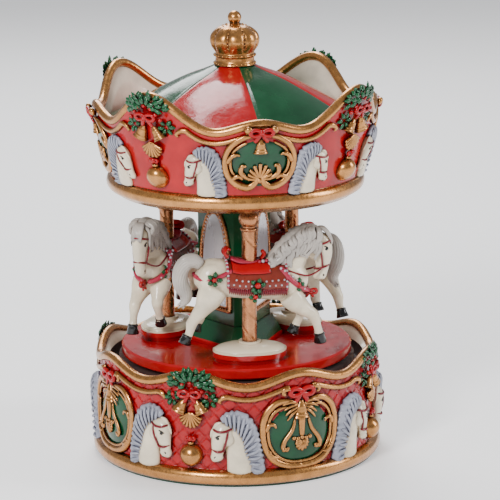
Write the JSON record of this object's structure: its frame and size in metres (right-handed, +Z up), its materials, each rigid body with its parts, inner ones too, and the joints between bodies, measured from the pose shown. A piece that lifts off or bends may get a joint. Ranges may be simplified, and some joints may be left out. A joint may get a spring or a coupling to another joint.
{
  "type": "carousel music box",
  "caption": "Wind-up music box: a round relief base with a movement inside turns a platform of leaping horses, a mirrored column and a crowned canopy.",
  "frame": {"origin": "centre of the foot, on the surface that the box stands on", "axes": "+Z up along the axis that the carousel turns on, -Y towards one of the base's medallions"},
  "size_m": [0.1096, 0.1096, 0.1675],
  "materials": {
    "red_resin": "high gloss lacquer on cast resin",
    "green_resin": "high gloss lacquer on cast resin",
    "roof_paint": "gloss lacquer in red and green panels",
    "cream_paint": "gloss paint on cast resin",
    "gold_paint": "bronze-gold paint with a dark wash",
    "pole_brass": "polished, copper tone",
    "brass": "satin",
    "plated_steel": "zinc plated",
    "spring_steel": "ground",
    "white_nylon": "moulded",
    "mirror_glass": "silvered",
    "felt": "felt",
    "fibreboard": "pressed fibre"
  },
  "bodies": {
    "base": {"base_housing": "red_resin", "felt_ring": "felt", "bottom_cover": "fibreboard", "cover_screws": "plated_steel", "bedplate": "plated_steel", "bedplate_screws": "plated_steel", "click_spring": "spring_steel", "barrel_bridge": "plated_steel", "bridge_screws": "plated_steel", "governor_bracket": "plated_steel", "comb": "spring_steel", "comb_screws": "plated_steel", "shaft_bush": "white_nylon"},
    "carousel": {"barrel_cap": "brass", "canopy_disc": "fibreboard", "canopy_roof": "roof_paint", "canopy_screws": "plated_steel", "canopy_shell": "red_resin", "column": "green_resin", "column_screws": "plated_steel", "crown": "gold_paint", "drive_shaft": "spring_steel", "horse_1": "cream_paint", "horse_2": "cream_paint", "horse_3": "cream_paint", "mainspring": "spring_steel", "mirror_1": "mirror_glass", "mirror_2": "mirror_glass", "mirror_3": "mirror_glass", "mirror_frame_1": "gold_paint", "mirror_frame_2": "gold_paint", "mirror_frame_3": "gold_paint", "pedestal_1": "red_resin", "pedestal_2": "red_resin", "pedestal_3": "red_resin", "pedestal_screws": "plated_steel", "platform": "red_resin", "pole_1": "pole_brass", "pole_2": "pole_brass", "pole_3": "pole_brass", "shaft_nut": "plated_steel", "spring_barrel": "brass"},
    "winder": {"winding_arbor": "spring_steel", "winding_key": "plated_steel"},
    "music_cylinder": {"music_cylinder": "brass", "cylinder_arbor": "spring_steel", "cylinder_pinion": "brass", "cylinder_wheel": "white_nylon"},
    "idler": {"idler_arbor": "spring_steel", "idler_pinion": "white_nylon", "worm_wheel": "white_nylon"},
    "governor": {"governor_worm": "spring_steel", "governor_fan": "white_nylon"}
  },
  "joints": [
    {"name": "carousel_turn", "type": "hinge", "parent": "base", "child": "carousel", "pos_m": [0, 0, 0.04], "axis": [0, 0, 1], "continuous": true},
    {"name": "key_wind", "type": "hinge", "parent": "base", "child": "winder", "pos_m": [0, 0, 0.005], "axis": [0, 0, 1], "range_deg": [0, 1260]},
    {"name": "cylinder_turn", "type": "hinge", "parent": "base", "child": "music_cylinder", "pos_m": [0.023, 0, 0.0253], "axis": [1, 0, 0], "continuous": true},
    {"name": "idler_turn", "type": "hinge", "parent": "base", "child": "idler", "pos_m": [0.036, -0.0105, 0.0253], "axis": [1, 0, 0], "continuous": true},
    {"name": "governor_spin", "type": "hinge", "parent": "base", "child": "governor", "pos_m": [0.0362, -0.0171, 0.02], "axis": [0, 0, 1], "continuous": true}
  ],
  "couplings": [
    {"joint": "cylinder_turn", "follows": "carousel_turn", "ratio": 3.3333},
    {"joint": "idler_turn", "follows": "carousel_turn", "ratio": -10.667},
    {"joint": "governor_spin", "follows": "carousel_turn", "ratio": -213.33}
  ]
}
